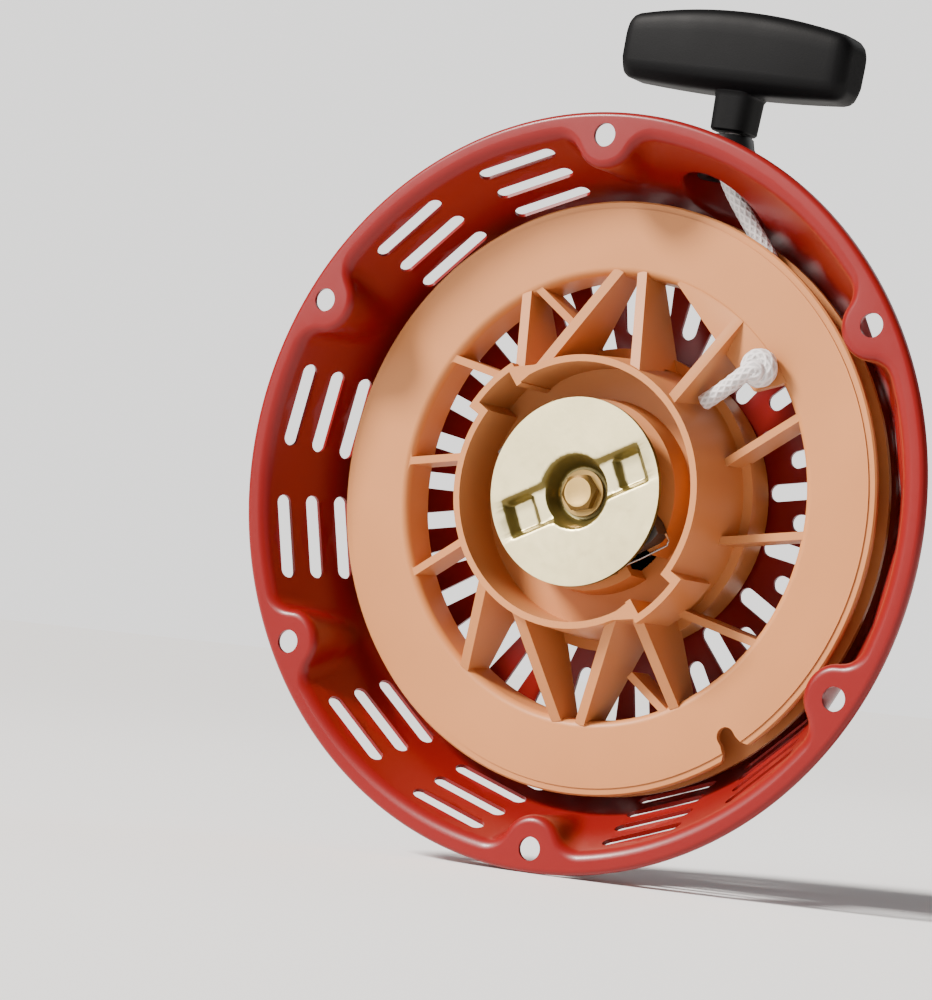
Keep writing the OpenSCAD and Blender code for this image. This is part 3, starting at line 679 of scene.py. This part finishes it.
def hex_screw():
    """Head with a turned chamfer on its corners, and the threaded shank below it."""
    foot, top, across, sides = -9.4, -6.5, 10.0, 120
    chamfer_r, chamfer_slope = 4.35, 1.7
    crest_r, root_r, pitch, thread_end = 3.0, 2.55, 1.0, -23.5
    flats = []
    for k in range(sides):
        turn = (360 * k / sides - 10) % 60 - 30
        flats.append(across / 2 / math.cos(math.radians(turn)))
    levels = [
        [(min(h, across * 0.56), foot) for h in flats],
        [(h, foot + 0.15) for h in flats],
        [(h, top - (h - chamfer_r) / chamfer_slope) for h in flats],
    ]
    levels += [[level] * sides for level in ((chamfer_r, top), (chamfer_r - 0.7, top),
                                             (chamfer_r - 1.3, top - 0.12), (0.5, top - 0.16))]
    points = [polar(r, 360 * k / sides, z) for level in levels for k, (r, z) in enumerate(level)]
    faces = ring_faces(len(levels), sides)
    faces.append(tuple(range((len(levels) - 1) * sides, len(levels) * sides)))
    profile = [(2.4, foot + 0.3)]
    z = foot
    while z > thread_end:
        profile += [(crest_r, z), (root_r, z - pitch / 2)]
        z -= pitch
    profile += [(2.2, thread_end - 0.7), (0.3, thread_end - 0.9)]
    shank, shank_faces = lathe(profile, 32)
    faces += [tuple(i + len(points) for i in f) for f in shank_faces]
    piece = make_piece("hex_screw", points + shank, faces, GOLD_ZINC, "housing",
                       ("setting_screw",))
    piece.data.set_sharp_from_angle(angle=math.radians(24))


hex_screw()


# ---- Ratchet guide ----


ARM_TURNS = (25, 205)
WELL_DEPTH, SHELF_DEPTH, TROUGH_DEPTH = 6.4, 1.7, 3.7
PEG_AT, PEG_TURNS, PEG_END = 22, (-2.5, 177.5), -12.3


def ease(x, low, high):
    """0 below low and 1 above high, with a smooth step between them."""
    t = min(1.0, max(0.0, (x - low) / (high - low)))
    return t * t * (3 - 2 * t)


def guide_depth(x, y):
    """How far the disc is pressed down at a point, by a round well and two troughs, each in a shelf."""
    deepest = WELL_DEPTH * (1 - ease(math.hypot(x, y), 7.6, 11.5))
    for turn in ARM_TURNS:
        a = math.radians(turn)
        along, aside = x * math.cos(a) + y * math.sin(a), abs(y * math.cos(a) - x * math.sin(a))
        if along > 0:
            shelf = (1 - ease(aside, 4.6, 6.6)) * (1 - ease(along, 22.4, 24.9))
            trough = ease(along, 12.6, 15.6) * (1 - ease(along, 21.7, 24.4))
            trough *= 1 - ease(aside, 3.9, 6.0)
            deepest = max(deepest, SHELF_DEPTH * shelf, TROUGH_DEPTH * trough)
    return deepest


def guide_points():
    """Scattered (x, y) points over the disc, closest together on its pressed slopes."""
    points = [polar(r, 4 * k) for r in (5.2, 6.4, 7.3, 7.9, 8.4, 8.9, 9.4, 9.9, 10.4, 10.9, 11.4, 12.0)
              for k in range(90)]
    steps = (2, 3.6, 4, 4.4, 4.8, 5.2, 5.6, 6, 6.4, 7)
    for turn in ARM_TURNS:
        cos, sin = math.cos(math.radians(turn)), math.sin(math.radians(turn))
        for along in [10.5 + 0.72 * i for i in range(20)]:
            for aside in [-s for s in reversed(steps)] + [0, *steps]:
                p = (along * cos - aside * sin, along * sin + aside * cos)
                if 12.3 < math.hypot(*p) < 26.5:
                    points.append(p)
    for r in (14, 18, 22, 26):
        for degrees in range(0, 360, 5):
            off_arm = min(abs((degrees - t + 180) % 360 - 180) for t in ARM_TURNS)
            if off_arm > math.degrees(8.5 / r):
                points.append(polar(r, degrees))
    return points


def guide_disc():
    """The pressed disc with its rounded edges, and the two pegs that move the ratchets."""
    sheet = Sheet()

    def at(p):
        return (p[0], p[1], Vector((p[0], p[1], GUIDE_TOP - guide_depth(p[0], p[1]))))

    outer = [at(polar(27.9, 3 * k)) for k in range(120)]
    hole = [at(polar(4.15, 10 * k)) for k in range(36)]
    sheet.patch([at(p) for p in guide_points()], [outer], [hole])
    mesh = sheet.mesh("guide_disc", (0, 20, GUIDE_TOP), (0, 0, 1))
    piece = place_piece("guide_disc", mesh, YELLOW_ZINC, "guide", ("ratchet_guide",))
    solid = piece.modifiers.new("Sheet", "SOLIDIFY")
    solid.thickness = GUIDE_T / 1000
    solid.offset = -1
    round_edges(piece, 0.35, 50, 3)
    profile = [(0.2, PEG_END), (1.5, PEG_END), (1.9, PEG_END + 0.4), (1.9, GUIDE_TOP - 1.0)]
    for k, turn in enumerate(PEG_TURNS):
        centre = polar(PEG_AT, turn)
        points, faces = lathe(profile, 32, (centre.x, centre.y))
        make_piece(f"guide_peg_{k}", points, faces, YELLOW_ZINC, "guide")


guide_disc()


# ---- Rope ----


def tube(name, path, finish, body, nodes, sides=20, radius=ROPE_R, ridge=0.05):
    """A braided rope along a list of points. The UV is (length in millimetres, share of a turn)."""
    count = len(path)
    ahead = [(path[min(i + 1, count - 1)] - path[max(i - 1, 0)]).normalized() for i in range(count)]
    steady = Vector((0, 0, 1)) if abs(ahead[0].z) < 0.9 else Vector((1, 0, 0))
    side = ahead[0].cross(steady).normalized()
    points, run, runs = [], 0.0, []
    for i, p in enumerate(path):
        if i:
            run += (p - path[i - 1]).length
            side = (side - ahead[i] * side.dot(ahead[i])).normalized()
        up = ahead[i].cross(side)
        runs.append(run)
        along = 2 * math.pi * run / BRAID_PITCH
        for k in range(sides):
            a = 2 * math.pi * k / sides
            wave = max(math.sin(hand * BRAID_STRANDS * a + along) for hand in (1, -1))
            r = radius * (1 - ridge + ridge * wave)
            if i in (0, count - 1):
                r *= 0.86
            points.append(p + (side * math.cos(a) + up * math.sin(a)) * r)
    piece = make_piece(name, points, capped_rings(count, sides), finish, body, nodes)
    layer = piece.data.uv_layers.new(name="rope")
    for polygon in piece.data.polygons:
        turns = [vertex % sides for vertex in polygon.vertices]
        if len(turns) == 4 and 0 in turns and sides - 1 in turns:
            turns = [turn or sides for turn in turns]
        for loop, vertex, turn in zip(polygon.loop_indices, polygon.vertices, turns):
            layer.data[loop].uv = (runs[vertex // sides], turn / sides)
    return piece


def smooth_path(corners, step=0.8, rounds=3):
    """A line through the corners, cut into even steps and rounded."""
    points = list(corners)
    for _ in range(rounds):
        cut = [points[0]]
        for a, b in zip(points, points[1:]):
            cut += [a.lerp(b, 0.25), a.lerp(b, 0.75)]
        points = cut + [points[-1]]
    path, left = [points[0]], step
    for a, b in zip(points, points[1:]):
        length = (b - a).length
        at = left
        while at < length:
            path.append(a.lerp(b, at / length))
            at += step
        left = at - length
    path.append(points[-1])
    return path


# The rope leaves its outermost turn at LEAVE degrees, clears it after CLEAR and bends in the eyelet.
BEND = EXIT - PULL * ((EXIT_Y - EYELET_FOOT) / PULL.y)
LAST_R = TURN_RADII[-1]
LEAVE = math.degrees(math.atan2(BEND.y, BEND.x) - math.acos(LAST_R / math.hypot(BEND.x, BEND.y)))
LEAVE_POINT = polar(LAST_R, LEAVE, ROPE_Z)
HEADING = polar(1, LEAVE + 90)
CLEAR = math.sqrt((LAST_R + ROPE_R + 0.5) ** 2 - (LAST_R - ROPE_R) ** 2)


def winding():
    """Two turns, which climb to the next radius just before the end of each."""
    path = []
    degrees = -720
    while degrees < 0:
        whole = 0 if degrees < -360 else 1
        climb = ease(degrees + 360 * (1 - whole), -80, 0)
        path.append(polar(TURN_RADII[whole] + climb * (TURN_RADII[whole + 1] - TURN_RADII[whole]),
                          LEAVE + degrees, ROPE_Z))
        degrees += 1.1
    path.append(LEAVE_POINT)
    tube("rope_turns", path, ROPE, "reel", ("rope_winding",), sides=16)


def rope_to_exit():
    """The rope between the reel and the eyelet."""
    start = LEAVE_POINT + HEADING * (CLEAR + 0.2)
    corners = [start, BEND - HEADING * 9, BEND + PULL * 1.5, EXIT - PULL * 0.6]
    tube("rope_to_exit", smooth_path(corners), ROPE, "housing", ("rope_run",), sides=24)


def knot(name, centre, axis, side, body, node, foot, tail):
    """A stopper knot: the rope comes up from its foot, wraps nearly twice and crosses its own top. The
    tail is a list of points from the centre."""
    axis, side = axis.normalized(), side.normalized()
    other = axis.cross(side)
    steps, wraps, tall = 60, 1.8, KNOT_SIZE * 0.62
    path = [centre + axis * foot, centre - axis * KNOT_SIZE * 0.5]
    for k in range(steps + 1):
        share = k / steps
        t = 2 * math.pi * wraps * share
        reach = (0.35 + 0.65 * math.sin(math.pi * min(1.0, 0.2 + share * 0.8)) ** 0.5) * tall
        path.append(centre + side * (reach * math.cos(t)) + other * (reach * math.sin(t))
                    + axis * (tall * (share - 0.5)))
    path += [centre + t for t in tail]
    tube(name, smooth_path(path, 0.6, 1), ROPE, body, (node,), radius=KNOT_SIZE * 0.44)


def reel_knot():
    centre, up, tail_way = Vector((KNOT_X, KNOT_Y, REEL_FACE + 4.4)), Vector((0, 0, 1)), polar(1, 213)
    tail = [up * 2.6, tail_way * 5 + up * 2.0, tail_way * 12, tail_way * 20.4 - up * 0.6]
    knot("reel_knot", centre, up, -tail_way, "reel", "rope_knot", -3.6, tail)


def rope_stub():
    """The straight rope from the hole to the grip, as a mesh without a body."""
    start, end, cuts = -0.5, BAR_TOP - 10.5, 60
    path = [EXIT + PULL * (start + (end - start) * k / cuts) for k in range(cuts + 1)]
    piece = tube("rope_to_grip", path, ROPE_STRAIGHT, None, ("rope_stub",), sides=24, ridge=0.0)
    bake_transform(piece)


winding()
rope_to_exit()
reel_knot()
rope_stub()
knot("grip_end_knot", EXIT + PULL * (BAR_TOP - 6.4), PULL, ACROSS, "handle", "grip_knot", -4.4,
     [PULL * 2.4, PULL * 2.6 + ACROSS * 2.2])


# ---- Grip ----


BAR_LONG, BAR_THICK, BAR_SHIFT = 74.6, 20.5, -1.6
BAR_END = 4.0


def signed_power(x, power):
    return math.copysign(abs(x) ** power, x)


def bar_section(s, sides):
    """Points round the bar at a distance s from its middle: flatter below than on top, and bevelled."""
    share = abs(s) / (BAR_LONG / 2)
    past = max(0.0, abs(s) - (BAR_LONG / 2 - BAR_END)) / BAR_END
    shrink = BAR_END * (1 - math.sqrt(max(0.0, 1 - past * past)))
    low = BAR_LOW + 1.5 * share ** 2 + shrink * 0.9
    high = BAR_TOP - 0.85 - 4.2 * share ** 2 - shrink
    thick = BAR_THICK / 2 - 2.0 * share ** 2 - shrink * 0.9
    points = []
    for k in range(sides):
        a = 2 * math.pi * (k + 0.5) / sides
        c, d = math.cos(a), math.sin(a)
        power = 2 / 4.5 if d > 0 else 2 / 6
        y = (low + high) / 2 + (high - low) / 2 * signed_power(d, power)
        z = thick * signed_power(c, power)
        if d < 0:
            z *= 1 - 0.2 * ease(low + 5.0 - y, 0.0, 4.5)
        points.append(EXIT + ACROSS * (s + BAR_SHIFT) + PULL * y + Vector((0, 0, z)))
    return points


def pull_tool(name, profile, power=2, sides=48):
    """A solid on the rope's line from (radius, distance) pairs, round at power 2 and squarer above."""
    points = []
    for r, s in profile:
        for k in range(sides):
            a = 2 * math.pi * k / sides
            c, d = math.cos(a), math.sin(a)
            square = (abs(c) ** power + abs(d) ** power) ** (-1 / power)
            points.append(EXIT + PULL * s + ACROSS * (r * square * c) + Vector((0, 0, r * square * d)))
    return make_piece(name, points, capped_rings(len(profile), sides), BLACK, "handle")


def grip():
    """Crowned bar with soft ends on a square stem, with a bore for the rope and a well for its knot."""
    half, sides = BAR_LONG / 2, 32
    ends = (0, 0.4, 1.2, 2.4, 4, 6)
    stations = [-half + e for e in ends]
    stations += [-half + ends[-1] + (BAR_LONG - 2 * ends[-1]) * k / 22 for k in range(1, 22)]
    stations += [half - e for e in reversed(ends)]
    points = [p for s in stations for p in bar_section(s, sides)]
    bar = make_piece("grip_bar", points, capped_rings(len(stations), sides), BLACK, "handle",
                     ("grip",))
    stem = pull_tool("stem_tool", [(5.6, 9.3), (6.1, 9.9), (6.4, 19.6), (7.0, 20.8), (7.2, 24.0)], 4)
    well = pull_tool("well_tool", [(8.0, BAR_TOP - 11), (8.0, BAR_TOP - 1.2), (8.6, BAR_TOP - 0.4),
                                   (9.6, BAR_TOP + 0.6), (9.6, BAR_TOP + 2)])
    bore = pull_tool("bore_tool", [(3.9, 9.0), (3.2, 12.0), (3.2, BAR_TOP - 10)])
    for tool, operation in ((stem, "UNION"), (well, "DIFFERENCE"), (bore, "DIFFERENCE")):
        cut = bar.modifiers.new("Cut", "BOOLEAN")
        cut.operation, cut.object, cut.solver = operation, tool, "EXACT"
    depsgraph = bpy.context.evaluated_depsgraph_get()
    depsgraph.update()
    final = bpy.data.meshes.new_from_object(bar.evaluated_get(depsgraph))
    bar.modifiers.clear()
    bar.data = final
    for tool in (stem, well, bore):
        bpy.data.objects.remove(tool)
    round_edges(bar, 0.5, 35)


grip()

# ---- Stage ----
FLOOR_Z, FLOOR_REACH = -0.1121, 60


def light(name, kind, energy, toward, place=(0, 0, 0)):
    """A lamp that shines along toward. Places are in metres."""
    lamp = bpy.data.lights.new(name, kind)
    lamp.energy = energy
    holder = bpy.data.objects.new(name, lamp)
    holder.location = place
    holder.rotation_mode = "QUATERNION"
    holder.rotation_quaternion = Vector(toward).to_track_quat("-Z", "Y")
    bpy.context.scene.collection.objects.link(holder)
    return lamp


def stage():
    """A wide pale floor, a world that lights softly and looks brighter, three soft lamps and a sun."""
    corners = [(x * FLOOR_REACH, y * FLOOR_REACH, FLOOR_Z)
               for x, y in ((-1, -1), (1, -1), (1, 1), (-1, 1))]
    mesh = bpy.data.meshes.new("floor")
    mesh.from_pydata(corners, [], [(0, 1, 2, 3)])
    floor = bpy.data.objects.new("floor", mesh)
    bpy.context.scene.collection.objects.link(floor)
    pale = bpy.data.materials.new("pale_floor")
    pale.use_nodes = True
    shader = pale.node_tree.nodes["Principled BSDF"]
    shader.inputs["Base Color"].default_value = (0.92, 0.92, 0.92, 1)
    shader.inputs["Roughness"].default_value = 1.0
    shader.inputs["Specular IOR Level"].default_value = 0.0
    mesh.materials.append(pale)

    world = bpy.data.worlds.new("studio")
    world.use_nodes = True
    nodes, links = world.node_tree.nodes, world.node_tree.links
    soft = nodes["Background"]
    soft.inputs["Color"].default_value = (1, 1, 1, 1)
    soft.inputs["Strength"].default_value = 0.12
    seen = nodes.new("ShaderNodeBackground")
    seen.inputs["Color"].default_value = (1, 0.985, 0.97, 1)
    seen.inputs["Strength"].default_value = 1.62
    ray = nodes.new("ShaderNodeLightPath")
    mix = nodes.new("ShaderNodeMixShader")
    links.new(ray.outputs["Is Camera Ray"], mix.inputs["Fac"])
    links.new(soft.outputs[0], mix.inputs[1])
    links.new(seen.outputs[0], mix.inputs[2])
    links.new(mix.outputs[0], nodes["World Output"].inputs["Surface"])
    bpy.context.scene.world = world

    for name, place, size, power in (("key", (-0.8, -1.15, 0.55), 0.8, 11),
                                     ("fill", (1, -1, 0.5), 0.9, 1),
                                     ("rim", (0.3, 1, 0.9), 0.8, 3)):
        light(name, "AREA", power, -Vector(place), place).size = size
    sun = light("sun", "SUN", 8.2, (0.85, 0.95, -1.0))
    sun.angle, sun.color = math.radians(14), (1.0, 0.95, 0.9)


def camera():
    """Looks into the mouth from the right and a little below, as solved from the photo's circles."""
    right, up, back = (0.8606, 0.4980, 0.1063), (-0.0682, -0.0941, 0.9932), (0.5047, -0.8620, -0.0471)
    data = bpy.data.cameras.new("camera")
    data.lens, data.sensor_width = 125.33, 36
    data.clip_start, data.clip_end = 0.02, 50
    cam = bpy.data.objects.new("camera", data)
    turn = Matrix((right, up, back)).transposed().to_4x4()
    cam.matrix_world = Matrix.Translation((0.4879, -0.8908, -0.0539)) @ turn
    bpy.context.scene.collection.objects.link(cam)
    bpy.context.scene.camera = cam


camera()
stage()
